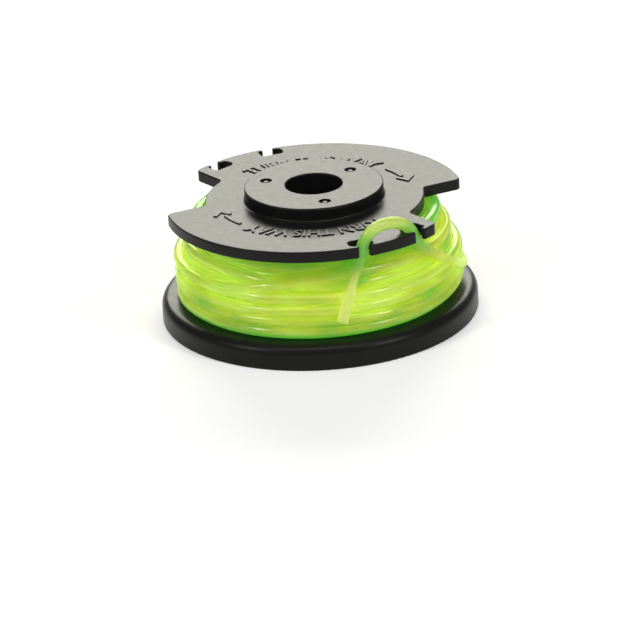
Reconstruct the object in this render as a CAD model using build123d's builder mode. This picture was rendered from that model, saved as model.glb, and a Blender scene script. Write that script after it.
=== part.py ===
"""Trimmer line spool: one moulded spool body, the line wound on its hub, and the line's free end.

Millimetres, +Z up along the bore. The origin is on the bore's axis, at the foot of the lower flange.
"""

import os
from math import atan2, cos, degrees, pi, radians, sin, tan

from build123d import *

# Overall sizes of the moulding
overall_height = 27.0
lower_flange_diameter = 63.5
upper_flange_diameter = 59.6
hub_diameter = 40.4
bore_diameter = 11.3

# Flanges, boss and walls
lower_flange_height = 5.0
lower_shoulder_radius = 2.0
lower_plate_thickness = 2.0
skirt_wall = 1.9
upper_flange_thickness = 2.25
boss_diameter = 27.8
boss_height = 2.7
boss_wall = 2.2
hub_wall = 2.2
sleeve_wall = 1.9
sleeve_foot_height = 3.0
flange_edge_radius = 0.3
boss_edge_radius = 0.35
boss_root_radius = 0.45
foot_edge_radius = 0.35

# Cut-outs of the upper flange, one on each side
cutout_angle = -14.0
cutout_inner_diameter = 43.8
cutout_inner_span = 36.0
cutout_outer_span = 47.0
cutout_inner_corner = 1.0
cutout_outer_corner = 1.4

# Keyhole slots that hold the line's end, two beside each cut-out
slot_angles = (-46.9, -71.9)
slot_neck_width = 2.15
slot_pocket_width = 4.6
slot_pocket_offset = -0.2
slot_pocket_depth = 2.7
slot_depth = 3.8
slot_long_end_corner = 1.0
slot_short_end_corner = 0.4
slot_neck_corner = 0.35
slot_lip_corner = 0.5

# Gate marks on the boss
gate_count = 3
gate_first_angle = -78.4
gate_circle_diameter = 20.0
gate_diameter = 2.45
gate_depth = 0.6
gate_nub_diameter = 0.9
gate_nub_height = 0.4

# Ramped drive lugs inside the hub
lug_count = 8
lug_span = 24.0
lug_depth = 2.2
lug_height = 7.0
lug_foot_height = 4.0

# Line
line_diameter = 2.4
winding_clearance = 0.1
winding_headroom = 0.35
turn_builds = (6.5, 8.4, 8.6, 7.5, 6.3, 5.6, 5.0)  # how far each turn that shows stands out from the hub
turn_groove_depth = 0.55

# Sizes worked out from those above
lower_radius = lower_flange_diameter / 2
upper_radius = upper_flange_diameter / 2
hub_radius = hub_diameter / 2
bore_radius = bore_diameter / 2
boss_radius = boss_diameter / 2
line_radius = line_diameter / 2
upper_flange_top = overall_height - boss_height
upper_flange_bottom = upper_flange_top - upper_flange_thickness
plate_bottom = lower_flange_height - lower_plate_thickness
hub_inner_radius = hub_radius - hub_wall
wall_middle = hub_radius - hub_wall / 2
boss_inner_radius = boss_radius - boss_wall
boss_ceiling = overall_height - upper_flange_thickness
sleeve_radius = bore_radius + sleeve_wall
skirt_inner_radius = lower_radius - skirt_wall
slot_inner_radius = upper_radius - slot_depth
two_sides = 2
match_tolerance = 0.01


def polar(radius, angle, height=0.0):
    """A point given by its radius from the bore's axis, its angle in degrees and its height."""
    return (radius * cos(radians(angle)), radius * sin(radians(angle)), height)


def at_radius(radius):
    """A test for the corners of an outline that lie at this distance from the bore's axis."""
    return lambda vertex: abs(Vector(vertex.X, vertex.Y, 0).length - radius) < match_tolerance


def at_neck(vertex):
    """A test for the corners of a keyhole slot where its neck leaves the pocket."""
    pocket_end = slot_inner_radius + slot_pocket_depth
    at_pocket_end = abs(vertex.X - pocket_end) < match_tolerance
    return at_pocket_end and abs(vertex.Y) < slot_neck_width / 2 + match_tolerance


def at_lip(vertex):
    """A test for the corners of the upper flange's outline where a slot's neck meets the rim."""
    angle = degrees(atan2(vertex.Y, vertex.X))
    half_neck = degrees(slot_neck_width / 2 / upper_radius)
    off_slots = [abs((angle - slot_angle + 90) % 180 - 90) for slot_angle in slot_angles]
    return at_radius(upper_radius)(vertex) and min(off_slots) < 1.2 * half_neck


# Outline of one cut-out: straight flared sides and an inner arc about the bore
inner_half = cutout_inner_span / 2
outer_half = cutout_outer_span / 2
side_low = Vector(*polar(cutout_inner_diameter / 2, inner_half))
side_high = Vector(*polar(upper_radius, outer_half))
side_end = side_high + (side_high - side_low) * 0.5
side_start = side_low - (side_high - side_low) * 0.2
beyond_rim = 2 * upper_radius
with BuildSketch() as cutout:
    with BuildLine():
        Polyline(
            (side_start.X, side_start.Y),
            (side_end.X, side_end.Y),
            (beyond_rim, 0),
            (side_end.X, -side_end.Y),
            (side_start.X, -side_start.Y),
            close=True,
        )
    make_face()
    Circle(cutout_inner_diameter / 2, mode=Mode.SUBTRACT)
    fillet(cutout.vertices().filter_by(at_radius(cutout_inner_diameter / 2)), cutout_inner_corner)

# Outline of one keyhole slot: a rounded pocket, and a neck to the rim that is narrower than the line
with BuildSketch() as keyhole:
    with Locations((slot_inner_radius + slot_pocket_depth / 2, slot_pocket_offset)):
        Rectangle(slot_pocket_depth, slot_pocket_width)
    with Locations((slot_inner_radius + slot_pocket_depth / 2, 0)):
        Rectangle(slot_depth, slot_neck_width, align=(Align.MIN, Align.CENTER))
    fillet(keyhole.vertices().group_by(Axis.Y)[0], slot_long_end_corner)
    fillet(keyhole.vertices().group_by(Axis.Y)[-1], slot_short_end_corner)
    fillet(keyhole.vertices().filter_by(at_neck), slot_neck_corner)

# Outline of one drive lug: a blunt nose with a steep face and a long ramp into the hub's wall
with BuildSketch() as lug:
    with BuildLine():
        Polyline(
            polar(wall_middle, 0)[:2],
            polar(hub_inner_radius - lug_depth, 0)[:2],
            polar(hub_inner_radius - lug_depth, lug_span / 4)[:2],
            polar(wall_middle, lug_span)[:2],
            polar(wall_middle, lug_span / 2)[:2],
            close=True,
        )
    make_face()

# Spool body: upper flange first, with its edges rounded, then the turned form and its details
with BuildPart() as spool_body:
    with BuildSketch(Plane.XY.offset(upper_flange_bottom)) as flange_outline:
        Circle(upper_radius)
        with PolarLocations(0, two_sides, start_angle=cutout_angle):
            add(cutout.sketch, mode=Mode.SUBTRACT)
        fillet(flange_outline.vertices().filter_by(at_radius(upper_radius)), cutout_outer_corner)
        for slot_angle in slot_angles:
            with PolarLocations(0, two_sides, start_angle=slot_angle):
                add(keyhole.sketch, mode=Mode.SUBTRACT)
        fillet(flange_outline.vertices().filter_by(at_lip), slot_lip_corner)
        Circle(wall_middle, mode=Mode.SUBTRACT)
    extrude(amount=upper_flange_thickness)
    fillet(spool_body.faces().sort_by(Axis.Z)[-1].outer_wire().edges(), flange_edge_radius)
    fillet(spool_body.faces().sort_by(Axis.Z)[0].outer_wire().edges(), flange_edge_radius / 2)

    with BuildSketch(Plane.XZ):
        with BuildLine():
            Polyline(
                (bore_radius, sleeve_foot_height),
                (bore_radius, overall_height),
                (boss_radius, overall_height),
                (boss_radius, upper_flange_top),
                (hub_radius, upper_flange_top),
                (hub_radius, lower_flange_height),
                (lower_radius, lower_flange_height),
                (lower_radius, 0),
                (skirt_inner_radius, 0),
                (skirt_inner_radius, plate_bottom),
                (hub_inner_radius, plate_bottom),
                (hub_inner_radius, upper_flange_bottom),
                (boss_inner_radius, upper_flange_bottom),
                (boss_inner_radius, boss_ceiling),
                (sleeve_radius, boss_ceiling),
                (sleeve_radius, sleeve_foot_height),
                close=True,
            )
        make_face()
    revolve(axis=Axis.Z)

    def ring(radius, height):
        """The circular edges of the body at this radius and height."""
        return spool_body.edges().filter_by(GeomType.CIRCLE).filter_by(
            lambda edge: Vector(edge.radius - radius, edge.arc_center.Z - height).length < match_tolerance
        )

    fillet(ring(lower_radius, lower_flange_height), lower_shoulder_radius)
    fillet(ring(lower_radius, 0) + ring(skirt_inner_radius, 0), foot_edge_radius)
    fillet(ring(boss_radius, overall_height) + ring(bore_radius, overall_height), boss_edge_radius)
    fillet(ring(boss_radius, upper_flange_top), boss_root_radius)

    with BuildSketch(Plane.XY.offset(overall_height)):
        with PolarLocations(gate_circle_diameter / 2, gate_count, start_angle=gate_first_angle):
            Circle(gate_diameter / 2)
    extrude(amount=-gate_depth, mode=Mode.SUBTRACT)
    with BuildSketch(Plane.XY.offset(overall_height - gate_depth)):
        with PolarLocations(gate_circle_diameter / 2, gate_count, start_angle=gate_first_angle):
            Circle(gate_nub_diameter / 2)
    extrude(amount=gate_nub_height)

    with BuildSketch(Plane.XY.offset(lug_foot_height)):
        with PolarLocations(0, lug_count):
            add(lug.sketch)
    extrude(amount=lug_height)

# Winding: the turns as one solid, with a rounded ridge for each turn that shows
winding_inner_radius = hub_radius + winding_clearance
winding_top = upper_flange_bottom - winding_headroom
turn_pitch = (winding_top - lower_flange_height) / len(turn_builds)
ridge_points = [
    (hub_radius + build, lower_flange_height + turn_pitch * (index + 0.5))
    for index, build in enumerate(turn_builds)
]
with BuildPart() as line_winding:
    with BuildSketch(Plane.XZ):
        with BuildLine():
            grooves = [(ridge_points[0][0] - line_radius, lower_flange_height)]
            for (low_r, low_z), (high_r, high_z) in zip(ridge_points, ridge_points[1:]):
                grooves.append(((low_r + high_r) / 2 - turn_groove_depth, (low_z + high_z) / 2))
            grooves.append((ridge_points[-1][0] - line_radius, winding_top))
            for low, ridge, high in zip(grooves, ridge_points, grooves[1:]):
                ThreePointArc(low, ridge, high)
            Polyline(
                grooves[-1],
                (winding_inner_radius, winding_top),
                (winding_inner_radius, lower_flange_height),
                grooves[0],
            )
        make_face()
    revolve(axis=Axis.Z)

# Free end of the line: out of the last turn, up one slot, over the tab, down the other, and the tail
route = [
    polar(26.2, -12.0, 10.8),
    polar(28.0, -23.5, 13.4),
    polar(27.6, -35.0, 16.9),
    polar(27.35, -44.2, 20.2),
    polar(27.35, -47.4, 24.5),
    polar(27.6, -56.4, 27.15),
    polar(27.8, -65.8, 27.1),
    polar(27.4, -71.1, 24.5),
    polar(27.35, -71.2, 20.8),
    polar(28.2, -74.4, 18.3),
    polar(28.7, -77.3, 15.2),
    polar(29.65, -79.9, 12.4),
    polar(30.3, -82.0, 9.3),
]
runs = [Vector(*end) - Vector(*start) for start, end in zip(route, route[1:])]
turns = [before.get_angle(after) for before, after in zip(runs, runs[1:])]
bend_radii = [
    0.45 * min(before.length, after.length) / tan(radians(turn) / 2)
    for before, after, turn in zip(runs, runs[1:], turns)
]
print("bend radii", [round(radius, 1) for radius in bend_radii])
with BuildPart() as line_end:
    with BuildLine() as path:
        FilletPolyline(*route, radius=bend_radii)
    with BuildSketch(Plane(path.line @ 0, z_dir=path.line % 0)):
        Circle(line_radius)
    sweep()
    tube_share = line_end.part.volume / (pi * line_radius**2 * path.wire().length)
    print("tube volume over section times length", round(tube_share, 4))
    add(line_winding.part, mode=Mode.SUBTRACT)

spool_body.part.label = "spool_body"
line_winding.part.label = "line_winding"
line_end.part.label = "line_end"

os.makedirs("parts", exist_ok=True)
export_step(spool_body.part, "parts/spool_body.step")
export_step(line_winding.part, "parts/line_winding.step")
export_step(line_end.part, "parts/line_end.step")
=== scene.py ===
"""Looks of the trimmer line spool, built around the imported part. Metres, in the part's own frame."""

from math import cos, pi, radians, sin

import bmesh
import bpy
from mathutils import Matrix, Vector, noise


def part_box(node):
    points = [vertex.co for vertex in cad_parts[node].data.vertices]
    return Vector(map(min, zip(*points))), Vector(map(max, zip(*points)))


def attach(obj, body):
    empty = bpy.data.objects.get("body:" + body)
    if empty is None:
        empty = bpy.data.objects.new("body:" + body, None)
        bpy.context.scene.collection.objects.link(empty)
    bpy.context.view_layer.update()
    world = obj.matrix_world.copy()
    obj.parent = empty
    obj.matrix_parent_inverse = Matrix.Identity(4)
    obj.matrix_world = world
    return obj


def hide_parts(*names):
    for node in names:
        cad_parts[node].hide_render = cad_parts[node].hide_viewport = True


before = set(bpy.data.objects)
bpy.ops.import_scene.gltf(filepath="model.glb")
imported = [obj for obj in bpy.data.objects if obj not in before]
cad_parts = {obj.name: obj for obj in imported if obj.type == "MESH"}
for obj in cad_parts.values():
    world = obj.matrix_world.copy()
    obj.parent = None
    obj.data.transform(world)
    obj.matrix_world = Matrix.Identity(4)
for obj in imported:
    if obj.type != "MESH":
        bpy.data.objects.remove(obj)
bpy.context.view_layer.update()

MM = 0.001
scene = bpy.context.scene
scene.view_settings.view_transform = "Standard"

# Sizes of the part that the looks follow; the boss is the top of the spool in the frame
boss_height = 2.7 * MM
flange_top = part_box("spool_body")[1].z - boss_height
line_diameter = 2.4 * MM

# Camera, as in the photograph
camera_distance = 1.0
camera_elevation = radians(22.645)
camera_roll = radians(3.30)
camera_aim = Vector((-0.3, 0.0, -2.5)) * MM
focal_length_px = 4969.3
frame_px = 640
sensor_mm = 36.0


def polar(radius_mm, angle_deg, height_mm):
    """A point in metres from its radius, angle and height about the bore, in mm and degrees."""
    angle = radians(angle_deg)
    return Vector((radius_mm * cos(angle), radius_mm * sin(angle), height_mm)) * MM


def add_camera():
    """The photograph's camera: long lens, low angle, rolled a little."""
    data = bpy.data.cameras.new("camera")
    data.sensor_width = sensor_mm
    data.lens = focal_length_px * sensor_mm / frame_px
    data.clip_start = 0.01
    camera = bpy.data.objects.new("camera", data)
    scene.collection.objects.link(camera)
    place = Vector((0, -cos(camera_elevation), sin(camera_elevation))) * camera_distance
    forward = (camera_aim - place).normalized()
    level = forward.cross(Vector((0, 0, 1))).normalized()
    upright = level.cross(forward)
    up = upright * cos(camera_roll) + level * sin(camera_roll)
    right = forward.cross(up)
    camera.matrix_world = Matrix((right, up, -forward)).transposed().to_4x4()
    camera.location = place
    scene.camera = camera


class Nodes:
    """Short calls to build a node material."""

    def __init__(self, name):
        self.material = bpy.data.materials.new(name)
        self.material.use_nodes = True
        self.tree = self.material.node_tree
        self.shader = self.tree.nodes["Principled BSDF"]

    def add(self, kind, **settings):
        node = self.tree.nodes.new(kind)
        for name, value in settings.items():
            setattr(node, name, value)
        return node

    def link(self, source, output, target, socket):
        self.tree.links.new(source.outputs[output], target.inputs[socket])

    def put(self, node, values):
        """Sets a node's sockets, given by name or number."""
        for socket, value in values.items():
            node.inputs[socket].default_value = value

    def noise(self, scale, detail=2.0, stretch=(1, 1, 1), shift=(0, 0, 0)):
        """Noise over the object's own coordinates; scale times stretch is in features per metre."""
        coordinates = self.add("ShaderNodeTexCoord")
        mapping = self.add("ShaderNodeMapping")
        self.put(mapping, {"Scale": stretch, "Location": shift})
        texture = self.add("ShaderNodeTexNoise")
        self.put(texture, {"Scale": scale, "Detail": detail})
        self.link(coordinates, "Object", mapping, "Vector")
        self.link(mapping, "Vector", texture, "Vector")
        return texture

    def span(self, source, output, start, end, to=(0.0, 1.0)):
        """Runs between two values, 0 and 1 unless given, while the source goes from start to end."""
        span = self.add("ShaderNodeMapRange")
        self.put(span, {"From Min": start, "From Max": end, "To Min": to[0], "To Max": to[1]})
        self.link(source, output, span, "Value")
        return span

    def ramp(self, source, output, stops):
        """A colour ramp fed by another node; stops are (place, colour)."""
        ramp = self.add("ShaderNodeValToRGB")
        elements = ramp.color_ramp.elements
        while len(elements) < len(stops):
            elements.new(0.5)
        for element, (place, colour) in zip(elements, stops):
            element.position = place
            element.color = (*colour, 1)
        self.link(source, output, ramp, "Fac")
        return ramp

    def blend(self, share, first, second):
        """Goes from the first colour to the second, which is a node or a plain colour, by the share."""
        blend = self.add("ShaderNodeMixRGB")
        self.link(share, "Result", blend, "Fac")
        self.link(first, "Color", blend, "Color1")
        if isinstance(second, tuple):
            self.put(blend, {"Color2": (*second, 1)})
        else:
            self.link(second, "Color", blend, "Color2")
        return blend

    def bump(self, texture, strength, depth):
        """Gives the shader's surface the relief of a texture."""
        bump = self.add("ShaderNodeBump")
        self.put(bump, {"Strength": strength, "Distance": depth})
        self.link(texture, "Fac", bump, "Height")
        self.link(bump, "Normal", self.shader, "Normal")


# Plastic: features per metre, and the range of each value over the surface
plastic_tint_per_m = 90
plastic_tints = [(0.3, (0.008, 0.008, 0.008)), (0.7, (0.011, 0.011, 0.010))]
plastic_wear_per_m = 700
plastic_roughness = (0.29, 0.41)
plastic_grain_per_m = 2800
plastic_grain_depth = 0.06 * MM
plastic_grain_strength = 0.40


def plastic_material():
    """Satin black moulded plastic with a fine eroded grain."""
    nodes = Nodes("spool_plastic")
    nodes.put(nodes.shader, {"Specular IOR Level": 0.15})
    tint = nodes.noise(plastic_tint_per_m, detail=3.0)
    colours = nodes.ramp(tint, "Fac", plastic_tints)
    nodes.link(colours, "Color", nodes.shader, "Base Color")
    wear = nodes.noise(plastic_wear_per_m, detail=3.0)
    gloss = nodes.span(wear, "Fac", 0.0, 1.0, to=plastic_roughness)
    nodes.link(gloss, "Result", nodes.shader, "Roughness")
    nodes.bump(nodes.noise(plastic_grain_per_m), plastic_grain_strength, plastic_grain_depth)
    return nodes.material


# Line: colours of the winding by a soft pattern, and of the rest by height or by distance from the bore,
# which paint shade in the slots and at the winding's foot and a highlight over the tab and on the tail
wound_tint_per_m = (70, 70, 190)
wound_tint_shift = (3.6, 32.4, 27.7)
wound_tints = [(0.28, (0.24, 0.37, 0.048)), (0.44, (0.51, 0.45, 0.043)), (0.60, (0.60, 0.57, 0.085))]
slot_heights = (18.5 * MM, 22.0 * MM)  # here the winding's colours give way to the loop's painted shade and highlight
loop_heights = (20.5 * MM, 27.0 * MM)  # over these heights the loop runs from painted shade, green low in the slots, to painted highlight, pale over the tab
loop_shade_to_highlight_tints = [(0.50, (0.18, 0.52, 0.06)), (0.78, (0.36, 0.64, 0.08)), (1.00, (0.60, 0.71, 0.13))]
# Painted shade: the lowest turns, shaded by the lower flange, go green, and the flange mirrors them green
underside_heights = (6.8 * MM, 5.5 * MM)
underside_painted_shade = (0.19, 0.60, 0.08)
# Painted highlight: beyond these radii the hanging tail turns pale
tail_radii = (29.0 * MM, 29.7 * MM)
tail_painted_highlight = (0.67, 0.63, 0.16)
line_relief_per_m = 900
line_relief_depth = 0.08 * MM
line_relief_strength = 0.08


def line_material():
    """Translucent lime nylon with painted light: painted shade makes it greener underneath and in the
    slots, painted highlight makes it paler over the tab and at the tail, and a faint emission paints a
    green glow.
    """
    nodes = Nodes("line_nylon")
    tint = nodes.noise(1.0, stretch=wound_tint_per_m, shift=wound_tint_shift)
    colour = nodes.ramp(tint, "Fac", wound_tints)
    coordinates = nodes.add("ShaderNodeTexCoord")
    split = nodes.add("ShaderNodeSeparateXYZ")
    nodes.link(coordinates, "Object", split, "Vector")
    # The loop by height: painted shade, green where it sits in the slots, to painted highlight, pale where
    # it arches over the tab
    loop = nodes.ramp(nodes.span(split, "Z", *loop_heights), "Result", loop_shade_to_highlight_tints)
    colour = nodes.blend(nodes.span(split, "Z", *slot_heights), colour, loop)
    # Painted shade at the winding's foot, by height
    colour = nodes.blend(nodes.span(split, "Z", *underside_heights), colour, underside_painted_shade)
    level = nodes.add("ShaderNodeVectorMath", operation="MULTIPLY")
    nodes.put(level, {1: (1, 1, 0)})
    nodes.link(coordinates, "Object", level, 0)
    radius = nodes.add("ShaderNodeVectorMath", operation="LENGTH")
    nodes.link(level, "Vector", radius, 0)
    # Painted highlight on the tail, by distance from the bore
    colour = nodes.blend(nodes.span(radius, "Value", *tail_radii), colour, tail_painted_highlight)
    nodes.link(colour, "Color", nodes.shader, "Base Color")
    nodes.shader.subsurface_method = "BURLEY"
    nodes.put(nodes.shader, {
        "Roughness": 0.23,
        "IOR": 2.4,
        "Specular IOR Level": 0.9,
        "Specular Tint": (0.18, 0.187, 0.14, 1),
        "Subsurface Weight": 1.0,
        "Subsurface Radius": (1.0, 1.0, 0.4),
        "Subsurface Scale": 14 * MM,
        # Painted glow: a faint green emission lifts the line where it lies in shade
        "Emission Color": (0.05, 0.50, 0.06, 1),
        "Emission Strength": 0.11,
        "Sheen Weight": 0.15,
        "Sheen Roughness": 0.3,
        "Sheen Tint": (0.8, 1.0, 0.45, 1),
    })
    nodes.bump(nodes.noise(line_relief_per_m), line_relief_strength, line_relief_depth)
    return nodes.material


# Line: layers of turns on the hub, then the last turn, the riser, the loop over the tab and the tail
points_per_turn = 24
turn_step = 360.0 / points_per_turn
spline_shrink = cos(pi / points_per_turn)  # a spline of this order runs inside its control points
step_over_points = 5
step_over_rise_mm = 0.4
layers = [
    # radius, height of the first turn, of the last turn, mm; turns; angle where each turn steps to the next
    (21.6, 6.4, 19.6, 3, 105),
    (23.8, 20.7, 8.4, 7, 75),
    (25.7, 6.6, 17.2, 6, -150),
    (27.5, 13.4, 8.8, 3, -45),
]
last_turn = (27.6, 6.6, 30)  # radius and height of the last part turn, mm; angle where it leaves
lowest_turn_mm = 6.22  # here the line just clears the lower flange
wander_mm = 0.36
wander_per_turn = 2.6
wander_start = (0.37, 2.9)
wander_apart = Vector((0, 7.3, 0))  # from the noise for height to the noise for radius


def smooth(share):
    """Eases from 0 to 1."""
    return share * share * (3 - 2 * share)


def layer_turns():
    """Radius and height of each turn, with the number of control points that it takes."""
    turns = []
    last_angle = layers[0][4]
    for radius, first, last, count, angle in layers:
        shift = round(((last_angle - angle) % 360) / turn_step)
        for index in range(count):
            height = first + (last - first) * index / (count - 1)
            turns.append((radius, height, points_per_turn + (shift if index == 0 else 0)))
        last_angle = angle
    radius, height, angle = last_turn
    turns.append((radius, height, round(((last_angle - angle) % 360) / turn_step)))
    return turns


def winding_points():
    """Control points of the wound turns, clockwise seen from above, up to where the riser leaves."""
    turns = layer_turns()
    points = []
    for (radius, height, steps), (next_radius, next_height, _) in zip(turns, turns[1:] + turns[-1:]):
        for k in range(steps):
            share = smooth(max(0.0, (k - steps + step_over_points) / step_over_points))
            place = len(points)
            angle = layers[0][4] - turn_step * place
            drift = Vector((place / points_per_turn * wander_per_turn, *wander_start))
            here = radius + (next_radius - radius) * share + step_over_rise_mm * sin(pi * share)
            here += wander_mm * noise.noise(drift + wander_apart)
            level = height + (next_height - height) * share + 2 * wander_mm * noise.noise(drift)
            points.append(polar(here / spline_shrink, angle, max(level, lowest_turn_mm)))
    return points


route = [
    polar(28.4, 18.0, 8.0),
    polar(29.0, 4.0, 8.2),
    polar(28.9, -10.0, 9.8),
    polar(28.3, -23.5, 13.4),
    polar(27.6, -35.0, 16.9),
    polar(27.35, -44.2, 20.2),
    polar(27.35, -47.4, 24.5),
    polar(27.6, -56.4, 27.15),
    polar(27.8, -65.8, 27.1),
    polar(27.4, -70.9, 24.6),
    polar(27.35, -72.4, 20.8),
    polar(28.1, -75.7, 18.6),
    polar(28.7, -78.0, 15.3),
    polar(29.65, -80.3, 12.4),
    polar(30.3, -82.3, 9.3),
]


def add_line(material):
    """The line as one open curve from the hub to the tail's cut end."""
    data = bpy.data.curves.new("trimmer_line", "CURVE")
    data.dimensions = "3D"
    data.bevel_depth = line_diameter / 2
    data.bevel_resolution = 3
    data.resolution_u = 3
    data.use_fill_caps = True
    data.twist_mode = "MINIMUM"
    spline = data.splines.new("NURBS")
    points = winding_points() + route
    spline.points.add(len(points) - 1)
    for point, place in zip(spline.points, points):
        point.co = (*place, 1)
    spline.order_u = 3
    spline.use_endpoint_u = True
    line = bpy.data.objects.new("trimmer_line", data)
    scene.collection.objects.link(line)
    data.materials.append(material)
    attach(line, "root")
    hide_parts("line_winding", "line_end")


# Raised marks on the upper flange: a plain turning sign and an arrow on each half
mark_words = "TURN THIS WAY"
mark_height = 0.22 * MM
mark_root = 0.05 * MM
words_start_angle = 131.7
words_span = 83.6
words_inner_radius_mm = 18.4
words_letter_mm = 3.2
letter_swell = 0.012  # this and the next two as shares of the letters' size
letter_bevel = 0.012
letter_depth = 0.05
arrow_width_mm = 0.75
arrow_shaft_mm_deg = [(19.5, 40.5), (19.5, 35.0), (19.5, 30.0), (19.5, 24.5)]
arrow_head_mm_deg = [(18.3, 23.5), (19.7, 17.0), (21.5, 22.5)]
mitre_limit = 0.5  # a corner reaches at most twice as far as the stroke's half width


def words_mesh():
    """The words as a raised mesh bent round the bore, tops outwards."""
    data = bpy.data.curves.new("words", "FONT")
    data.body = mark_words
    data.size = 1.0
    data.offset = letter_swell
    data.extrude = letter_depth
    data.bevel_depth = letter_bevel
    data.bevel_resolution = 1
    data.resolution_u = 4
    text = bpy.data.objects.new("words", data)
    scene.collection.objects.link(text)
    bpy.context.view_layer.update()
    mesh = bpy.data.meshes.new_from_object(text.evaluated_get(bpy.context.evaluated_depsgraph_get()))
    bpy.data.objects.remove(text)
    low = Vector([min(v.co[i] for v in mesh.vertices) for i in range(3)])
    high = Vector([max(v.co[i] for v in mesh.vertices) for i in range(3)])
    for vertex in mesh.vertices:
        along, out, up = ((vertex.co[i] - low[i]) / (high[i] - low[i]) for i in range(3))
        radius_mm = words_inner_radius_mm + words_letter_mm * out
        vertex.co = polar(radius_mm, words_start_angle - words_span * along, 0)
        vertex.co.z = flange_top - mark_root + (mark_height + mark_root) * up
    return mesh


def stroke_ring(points, width):
    """Outline of a flat stroke of this width along the points, with mitred corners."""
    left, right = [], []
    for before, point, after in zip(points[:1] + points, points, points[1:] + points[-1:]):
        ahead = (after - point).normalized() if after != point else (point - before).normalized()
        behind = (point - before).normalized() if before != point else ahead
        tangent = (ahead + behind).normalized()
        normal = Vector((-tangent.y, tangent.x, 0))
        reach = width / 2 / max(mitre_limit, tangent.dot(ahead))
        left.append(point + normal * reach)
        right.append(point - normal * reach)
    return left + right[::-1]


def add_stroke(builder, points_mm_deg, width):
    """A raised stroke along points given by radius and angle."""
    base = flange_top - mark_root
    ring = stroke_ring([polar(radius, angle, 0) for radius, angle in points_mm_deg], width)
    verts = [builder.verts.new((corner.x, corner.y, base)) for corner in ring]
    faces = [
        builder.faces.new((verts[i], verts[i + 1], verts[-2 - i], verts[-1 - i]))
        for i in range(len(points_mm_deg) - 1)
    ]
    raised = bmesh.ops.extrude_face_region(builder, geom=faces)["geom"]
    top = [item for item in raised if isinstance(item, bmesh.types.BMVert)]
    bmesh.ops.translate(builder, verts=top, vec=(0, 0, mark_root + mark_height))


def add_marks(material):
    """Words and arrow, and the same again half a turn round, as one piece."""
    builder = bmesh.new()
    builder.from_mesh(words_mesh())
    add_stroke(builder, arrow_shaft_mm_deg, arrow_width_mm * MM)
    add_stroke(builder, arrow_head_mm_deg, arrow_width_mm * MM)
    bmesh.ops.recalc_face_normals(builder, faces=builder.faces)
    half = builder.verts[:] + builder.edges[:] + builder.faces[:]
    copy = bmesh.ops.duplicate(builder, geom=half)["geom"]
    turned = [item for item in copy if isinstance(item, bmesh.types.BMVert)]
    bmesh.ops.rotate(builder, verts=turned, cent=(0, 0, 0), matrix=Matrix.Rotation(pi, 3, "Z"))
    mesh = bpy.data.meshes.new("direction_marks")
    builder.to_mesh(mesh)
    builder.free()
    marks = bpy.data.objects.new("direction_marks", mesh)
    scene.collection.objects.link(marks)
    mesh.materials.append(material)
    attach(marks, "root")


def dress_body(material):
    """The CAD moulding gets the plastic."""
    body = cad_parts["spool_body"]
    body.data.materials.clear()
    body.data.materials.append(material)


# Stage and light
floor_half_width = 3.0
floor_colour = (0.82, 0.82, 0.81, 1)
floor_lift = 0.30  # brings the floor to white where it is seen or mirrored, and lights nothing
world_strength = 0.17
panel_colour = (1.0, 0.99, 0.88)
lamps = [
    # name, place, aim, width and height, power in watts, colour
    ("rear_panel", (0.0, 1.3, 0.62), (0, 0, 0.02), (1.2, 0.5), 18, panel_colour),
    ("left_box", (-0.95, -0.6, 0.85), (0, 0, 0.01), (0.18, 0.36), 4.6, (1, 1, 1)),
    ("right_box", (0.9, -0.65, 0.85), (0, 0, 0.01), (0.18, 0.36), 4.6, (1, 1, 1)),
    ("top_strip", (0.0, -0.35, 1.15), (0, 0, 0.0), (1.0, 0.12), 4, (1, 1, 1)),
]


def add_floor():
    """A white floor that keeps the object's shadow."""
    mesh = bpy.data.meshes.new("floor")
    builder = bmesh.new()
    bmesh.ops.create_grid(builder, x_segments=1, y_segments=1, size=floor_half_width)
    builder.to_mesh(mesh)
    builder.free()
    floor = bpy.data.objects.new("floor", mesh)
    scene.collection.objects.link(floor)
    nodes = Nodes("floor")
    nodes.put(nodes.shader, {
        "Base Color": floor_colour,
        "Roughness": 0.9,
        "Specular IOR Level": 0.0,
        "Emission Color": (1, 1, 1, 1),
    })
    ray = nodes.add("ShaderNodeLightPath")
    seen = nodes.add("ShaderNodeMath", operation="MAXIMUM")
    nodes.link(ray, "Is Camera Ray", seen, 0)
    nodes.link(ray, "Is Glossy Ray", seen, 1)
    either = nodes.add("ShaderNodeMath", operation="MAXIMUM")
    nodes.link(seen, "Value", either, 0)
    nodes.link(ray, "Is Transmission Ray", either, 1)
    lift = nodes.add("ShaderNodeMath", operation="MULTIPLY")
    nodes.put(lift, {1: floor_lift})
    nodes.link(either, "Value", lift, 0)
    nodes.link(lift, "Value", nodes.shader, "Emission Strength")
    mesh.materials.append(nodes.material)


def add_lamp(name, place, aim, size, power, colour):
    """A soft rectangular lamp."""
    data = bpy.data.lights.new(name, "AREA")
    data.color = colour
    data.shape = "RECTANGLE"
    data.size, data.size_y = size
    data.energy = power
    lamp = bpy.data.objects.new(name, data)
    scene.collection.objects.link(lamp)
    lamp.location = place
    lamp.rotation_euler = (Vector(aim) - Vector(place)).to_track_quat("-Z", "Y").to_euler()


def add_world():
    """Even pale surroundings."""
    world = bpy.data.worlds.new("studio")
    scene.world = world
    world.use_nodes = True
    background = world.node_tree.nodes["Background"]
    background.inputs["Color"].default_value = (1, 1, 1, 1)
    background.inputs["Strength"].default_value = world_strength


add_camera()
plastic = plastic_material()
dress_body(plastic)
add_marks(plastic)
add_line(line_material())
add_floor()
add_world()
for lamp in lamps:
    add_lamp(*lamp)
